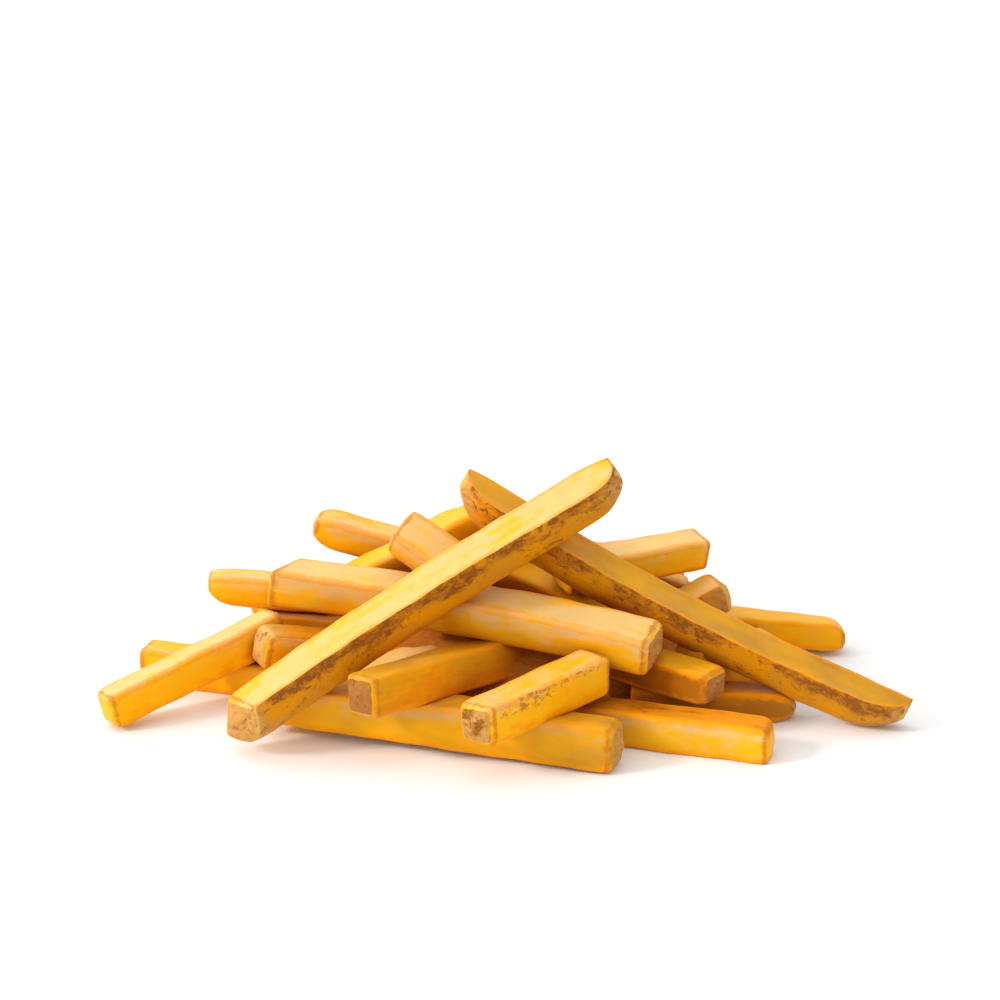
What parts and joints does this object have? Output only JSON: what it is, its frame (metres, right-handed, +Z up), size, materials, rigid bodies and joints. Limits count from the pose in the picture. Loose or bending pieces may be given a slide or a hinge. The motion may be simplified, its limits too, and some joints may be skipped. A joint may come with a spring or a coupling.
{
  "type": "pile of french fries",
  "caption": "Loose heap of thick-cut french fries with some potato skin left on, lying crosswise over each other.",
  "frame": {"origin": "on the surface the heap lies on, under the middle of its bounding box", "axes": "+X runs along the heap's longest extent, to the right in the picture; +Y runs away from the viewer of the picture; +Z is up"},
  "size_m": [0.191, 0.1128, 0.0606],
  "materials": {
    "fried_potato": "golden fried potato with a dry, slightly crisp surface and brown skin on some sides and ends"
  },
  "bodies": {
    "root": {"fries_heap": "fried_potato"}
  },
  "joints": []
}
